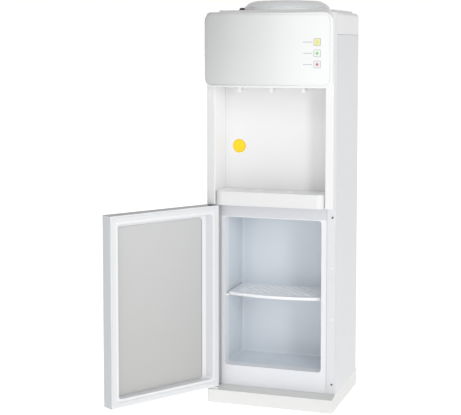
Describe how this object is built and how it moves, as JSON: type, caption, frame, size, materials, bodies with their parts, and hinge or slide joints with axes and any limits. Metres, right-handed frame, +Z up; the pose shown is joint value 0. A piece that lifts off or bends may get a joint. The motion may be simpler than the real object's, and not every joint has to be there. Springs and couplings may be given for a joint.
{
  "type": "water cooler",
  "caption": "Free-standing white bottled-water cooler: bottle collar on top, tap recess with drip tray, and a storage cabinet with a left-hinged door and a perforated shelf.",
  "frame": {"origin": "centre of the footprint, on the floor", "axes": "+X to the viewer's right, +Y to the rear, +Z up"},
  "size_m": [0.4769, 0.532, 0.9694],
  "materials": {
    "white_moulding": "satin",
    "white_steel": "satin",
    "plinth_moulding": "satin",
    "foot_rubber": "matte",
    "rear_steel": "satin",
    "cabinet_liner": "satin",
    "foam": "matte",
    "shelf_white": "gloss",
    "door_white": "satin",
    "door_liner_white": "satin",
    "seal": "matte",
    "door_grey": "satin",
    "hinge_steel": "satin",
    "silver_face": "gloss",
    "yellow_disc": "satin",
    "lamp_frame": "gloss",
    "lamp_yellow": "gloss",
    "lamp_green": "gloss",
    "lamp_red": "gloss",
    "circuit_board": "satin",
    "tap_white": "gloss",
    "pin_steel": "polished",
    "hose": "satin",
    "collar_grey": "satin",
    "latch_dark": "satin",
    "stainless": "satin",
    "compressor_black": "satin",
    "condenser_black": "satin",
    "switch_black": "satin",
    "rocker_green": "gloss",
    "rocker_red": "gloss"
  },
  "bodies": {
    "cabinet": {"base_plinth": "plinth_moulding", "levelling_feet": "foot_rubber", "side_panel_right": "white_steel", "side_panel_left": "white_steel", "rear_panel": "rear_steel", "front_frame": "white_moulding", "flange_screws": "hinge_steel", "hole_plugs": "white_moulding", "cabinet_liner": "cabinet_liner", "cabinet_insulation": "foam", "hinge_lower": "hinge_steel", "hinge_upper": "hinge_steel", "tap_recess": "white_moulding", "recess_disc": "yellow_disc", "fascia_frame": "white_moulding", "fascia_panel": "silver_face", "lamp_bezels": "lamp_frame", "lamp_lens_upper": "lamp_yellow", "lamp_lens_middle": "lamp_green", "lamp_lens_lower": "lamp_red", "lamp_board": "circuit_board", "tap_pins": "pin_steel", "cold_pipe": "hose", "warm_pipe": "hose", "hot_pipe": "hose", "top_cover": "white_moulding", "bottle_collar": "collar_grey", "collar_latch": "latch_dark", "bottle_well": "tap_white", "feed_spike": "tap_white", "cold_tank": "stainless", "tank_jacket": "foam", "tank_shelf": "rear_steel", "hot_tank": "stainless", "heater_band": "stainless", "link_pipe": "hose", "compressor": "compressor_black", "compressor_grommets": "foot_rubber", "condenser_tube": "condenser_black", "condenser_wires": "condenser_black", "condenser_straps": "condenser_black", "switch_housing": "switch_black", "cord_gland": "switch_black", "drain_plug": "switch_black", "tap_body_left": "tap_white", "tap_body_middle": "tap_white", "tap_body_right": "tap_white"},
    "door": {"door_shell": "door_white", "door_insulation": "foam", "door_liner": "door_liner_white", "door_gasket": "seal", "door_panel": "door_grey"},
    "drip_tray_body": {"drip_tray": "white_moulding"},
    "drip_grille_body": {"drip_grille": "white_moulding"},
    "shelf_body": {"cabinet_shelf": "shelf_white"},
    "lever_left": {"tap_lever_left": "tap_white"},
    "lever_middle": {"tap_lever_middle": "tap_white"},
    "lever_right": {"tap_lever_right": "tap_white"},
    "cooling_rocker": {"cooling_switch": "rocker_green"},
    "heating_rocker": {"heating_switch": "rocker_red"}
  },
  "joints": [
    {"name": "door_hinge", "type": "hinge", "parent": "cabinet", "child": "door", "pos_m": [-0.146, -0.124, 0.26075], "axis": [0, 0, 1], "range_deg": [-12, 123]},
    {"name": "tray_slide", "type": "slide", "parent": "cabinet", "child": "drip_tray_body", "axis": [0, 1, 0], "range_m": [-0.074, 0]},
    {"name": "grille_lift", "type": "slide", "parent": "drip_tray_body", "child": "drip_grille_body", "axis": [0, 0, 1], "range_m": [0, 0.025]},
    {"name": "shelf_slide", "type": "slide", "parent": "cabinet", "child": "shelf_body", "axis": [0, 1, 0], "range_m": [-0.11, 0]},
    {"name": "lever_left_press", "type": "hinge", "parent": "cabinet", "child": "lever_left", "pos_m": [-0.078, -0.105, 0.7855], "axis": [1, 0, 0], "range_deg": [0, 12], "stiffness_Nm_per_rad": 0.12, "springref_deg": -5.73},
    {"name": "lever_middle_press", "type": "hinge", "parent": "cabinet", "child": "lever_middle", "pos_m": [0, -0.105, 0.7855], "axis": [1, 0, 0], "range_deg": [0, 12], "stiffness_Nm_per_rad": 0.12, "springref_deg": -5.73},
    {"name": "lever_right_press", "type": "hinge", "parent": "cabinet", "child": "lever_right", "pos_m": [0.078, -0.105, 0.7855], "axis": [1, 0, 0], "range_deg": [0, 12], "stiffness_Nm_per_rad": 0.12, "springref_deg": -5.73},
    {"name": "cooling_rock", "type": "hinge", "parent": "cabinet", "child": "cooling_rocker", "pos_m": [-0.089, 0.1333, 0.836], "axis": [1, 0, 0], "range_deg": [-16, 0]},
    {"name": "heating_rock", "type": "hinge", "parent": "cabinet", "child": "heating_rocker", "pos_m": [-0.066, 0.1333, 0.836], "axis": [1, 0, 0], "range_deg": [-16, 0]}
  ]
}
